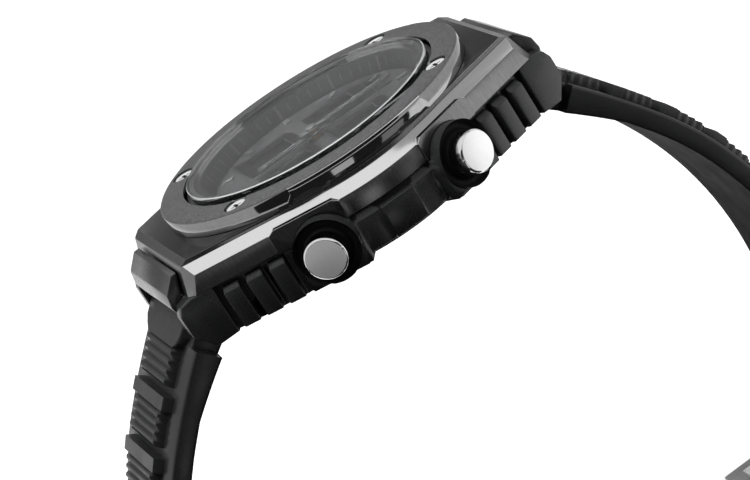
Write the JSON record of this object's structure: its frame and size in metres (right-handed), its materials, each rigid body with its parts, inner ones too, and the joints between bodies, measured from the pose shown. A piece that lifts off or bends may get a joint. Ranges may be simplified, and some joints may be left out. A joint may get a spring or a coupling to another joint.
{
  "type": "wristwatch",
  "caption": "Octagonal wristwatch with round bezel, hands over digital windows, four side pushers and a curved buckle strap.",
  "frame": {"origin": "centre of the case back's outer face", "axes": "+Z out of the glass, +Y to 12 o'clock, +X to 3 o'clock"},
  "size_m": [0.0498, 0.0986, 0.0792],
  "materials": {
    "resin": "matt black moulded resin",
    "frame_metal": "brushed top, polished bevel",
    "bezel_metal": "fine-blasted dark grey top, polished side",
    "steel": "plain steel",
    "pusher_metal": "brushed face, polished rim",
    "buckle_metal": "brushed steel",
    "seal_rubber": "black rubber",
    "glass": "clear mineral glass",
    "display_glass": "dark inverted display glass",
    "dial": "dark printed dial",
    "chapter": "dark ring with pale minute marks",
    "hands": "bright faceted metal",
    "wheels": "brass",
    "copper": "wound copper wire",
    "module_plastic": "moulded module plastic",
    "strap": "matt black flexible resin"
  },
  "bodies": {
    "case": {"resin_body": "resin", "end_block_12": "resin", "end_block_6": "resin", "case_frame": "frame_metal", "bezel_ring": "bezel_metal", "mid_case": "steel", "case_back": "steel", "frame_screws": "steel", "bezel_screws": "steel", "case_back_screws": "steel", "spring_bar_12": "steel", "spring_bar_6": "steel", "battery": "steel", "battery_clamp": "steel", "quartz_resonator": "steel", "motor_stator": "steel", "pusher_spring_2": "steel", "pusher_spring_10": "steel", "pusher_spring_4": "steel", "pusher_spring_8": "steel", "case_back_gasket": "seal_rubber", "crystal_gasket": "seal_rubber", "pusher_seals": "seal_rubber", "zebra_connector": "seal_rubber", "crystal": "glass", "lcd_panel": "display_glass", "dial_plate": "dial", "chapter_ring": "chapter", "hour_markers": "hands", "buzzer": "wheels", "buzzer_contact": "wheels", "motor_coil": "copper", "module_frame": "module_plastic", "circuit_board": "module_plastic", "driver_chip": "module_plastic", "dial_lamp": "module_plastic"},
    "strap_12": {"strap_12": "strap", "buckle_pin": "steel"},
    "strap_6": {"strap_6": "strap"},
    "keeper": {"keeper_loop": "strap"},
    "buckle": {"buckle_frame": "buckle_metal"},
    "tongue": {"buckle_tongue": "buckle_metal"},
    "pusher_2": {"pusher_2": "pusher_metal"},
    "pusher_10": {"pusher_10": "pusher_metal"},
    "pusher_4": {"pusher_4": "pusher_metal"},
    "pusher_8": {"pusher_8": "pusher_metal"},
    "minute_arbor": {"centre_wheel": "wheels", "minute_hand": "hands"},
    "hour_arbor": {"hour_wheel": "wheels", "hour_hand": "hands"},
    "minute_wheel": {"minute_wheel": "wheels"},
    "intermediate_wheel": {"intermediate_wheel": "wheels"},
    "motor_rotor": {"motor_rotor": "wheels"}
  },
  "joints": [
    {"name": "strap_12_hinge", "type": "hinge", "parent": "case", "child": "strap_12", "pos_m": [0, 0.0246, 0.0028], "axis": [-1, 0, 0], "range_deg": [0, 12]},
    {"name": "strap_6_hinge", "type": "hinge", "parent": "case", "child": "strap_6", "pos_m": [0, -0.0246, 0.0028], "axis": [1, 0, 0], "range_deg": [0, 12]},
    {"name": "keeper_slide", "type": "slide", "parent": "strap_12", "child": "keeper", "axis": [0, -0.3067, -0.9518], "range_m": [-0.0025, 0.0025]},
    {"name": "buckle_hinge", "type": "hinge", "parent": "strap_12", "child": "buckle", "pos_m": [0, 0.03361, -0.06353], "axis": [1, 0, 0], "range_deg": [-30, 60]},
    {"name": "tongue_hinge", "type": "hinge", "parent": "buckle", "child": "tongue", "pos_m": [0, 0.03361, -0.06353], "axis": [1, 0, 0], "range_deg": [0, 60]},
    {"name": "pusher_2_press", "type": "slide", "parent": "case", "child": "pusher_2", "axis": [-0.8957, -0.4446, 0], "range_m": [0, 0.0008], "stiffness_N_per_m": 1800, "springref_m": -0.0006, "deforming": ["pusher_spring_2"]},
    {"name": "pusher_10_press", "type": "slide", "parent": "case", "child": "pusher_10", "axis": [0.8957, -0.4446, 0], "range_m": [0, 0.0008], "stiffness_N_per_m": 1800, "springref_m": -0.0006, "deforming": ["pusher_spring_10"]},
    {"name": "pusher_4_press", "type": "slide", "parent": "case", "child": "pusher_4", "axis": [-0.8957, 0.4446, 0], "range_m": [0, 0.0008], "stiffness_N_per_m": 1800, "springref_m": -0.0006, "deforming": ["pusher_spring_4"]},
    {"name": "pusher_8_press", "type": "slide", "parent": "case", "child": "pusher_8", "axis": [0.8957, 0.4446, 0], "range_m": [0, 0.0008], "stiffness_N_per_m": 1800, "springref_m": -0.0006, "deforming": ["pusher_spring_8"]},
    {"name": "minute_spin", "type": "hinge", "parent": "case", "child": "minute_arbor", "pos_m": [0, 0, 0.005], "axis": [0, 0, 1], "continuous": true},
    {"name": "hour_spin", "type": "hinge", "parent": "case", "child": "hour_arbor", "pos_m": [0, 0, 0.005], "axis": [0, 0, 1], "continuous": true},
    {"name": "minute_wheel_spin", "type": "hinge", "parent": "case", "child": "minute_wheel", "pos_m": [0, 0.0032, 0.005], "axis": [0, 0, 1], "continuous": true},
    {"name": "intermediate_spin", "type": "hinge", "parent": "case", "child": "intermediate_wheel", "pos_m": [-0.00384, 0, 0.005], "axis": [0, 0, 1], "continuous": true},
    {"name": "rotor_spin", "type": "hinge", "parent": "case", "child": "motor_rotor", "pos_m": [-0.00654, -0.00226, 0.005], "axis": [0, 0, 1], "continuous": true}
  ],
  "couplings": [
    {"joint": "hour_spin", "follows": "minute_spin", "ratio": 0.083333},
    {"joint": "minute_wheel_spin", "follows": "minute_spin", "ratio": -0.33333},
    {"joint": "intermediate_spin", "follows": "minute_spin", "ratio": -5},
    {"joint": "rotor_spin", "follows": "minute_spin", "ratio": 22.5}
  ]
}
